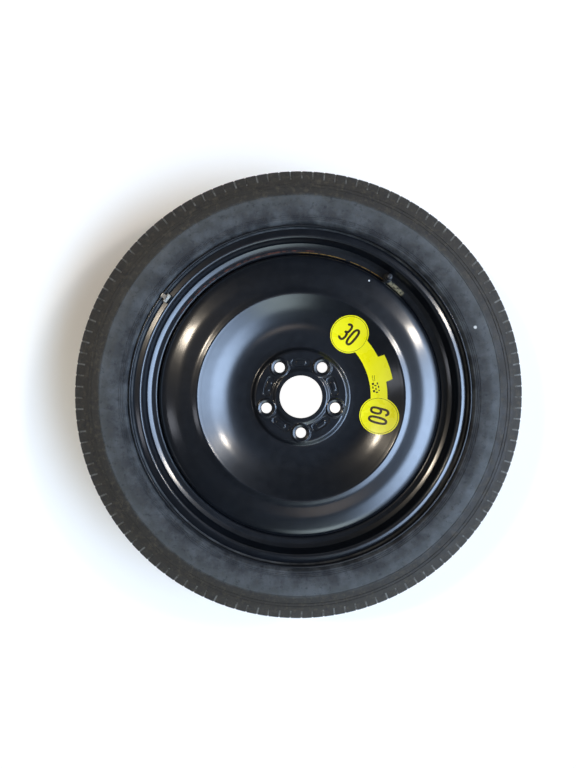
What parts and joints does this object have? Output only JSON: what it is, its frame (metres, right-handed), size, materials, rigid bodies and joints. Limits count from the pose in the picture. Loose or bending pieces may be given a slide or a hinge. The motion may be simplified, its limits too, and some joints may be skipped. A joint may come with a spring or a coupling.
{
  "type": "spare wheel",
  "caption": "Temporary-use spare wheel lying on its side: narrow tyre on a welded pressed-steel wheel with a central bore, ring of lug holes, tyre valve and yellow load label",
  "frame": {"origin": "the wheel's centre: on its axis, midway between the two rim flanges and the two sidewalls", "axes": "Z is the wheel's axis and points outboard, up as the wheel lies on its inboard sidewall; one lug hole lies towards -Y"},
  "size_m": [0.66, 0.66, 0.128],
  "materials": {
    "tyre_rubber": "moulded black rubber, dull, slightly brown at the shoulders",
    "black_ecoat": "glossy black electrocoat over pressed steel, faintly blue",
    "coated_weld": "rippled weld under the same black coat",
    "valve_rubber": "moulded black rubber",
    "stem_brass": "turned brass",
    "seal_rubber": "moulded seal rubber",
    "spring_steel": "plain spring steel, lightly dulled",
    "cap_plastic": "moulded black plastic with grip ribs",
    "weight_zinc": "dull cast zinc, grey-beige",
    "yellow_film": "printed yellow film with dark plain numbers"
  },
  "bodies": {
    "wheel": {"tyre": "tyre_rubber", "rim": "black_ecoat", "wheel_disc": "black_ecoat", "weld_beads": "coated_weld", "valve_body": "valve_rubber", "valve_stem": "stem_brass", "core_housing": "stem_brass", "core_gasket": "seal_rubber", "core_spring": "spring_steel", "weight_body": "weight_zinc", "weight_clip": "spring_steel", "load_label": "yellow_film"},
    "pin": {"core_pin": "stem_brass", "core_seal": "seal_rubber"},
    "cap": {"valve_cap": "cap_plastic", "cap_seal": "seal_rubber"}
  },
  "joints": [
    {"name": "core_pin_press", "type": "slide", "parent": "wheel", "child": "pin", "axis": [0, 0, -1], "range_m": [0, 0.0013], "stiffness_N_per_m": 400, "springref_m": -0.001, "deforming": ["core_spring"]},
    {"name": "valve_cap_off", "type": "slide", "parent": "wheel", "child": "cap", "axis": [0, 0, 1], "range_m": [0, 0.014]}
  ]
}
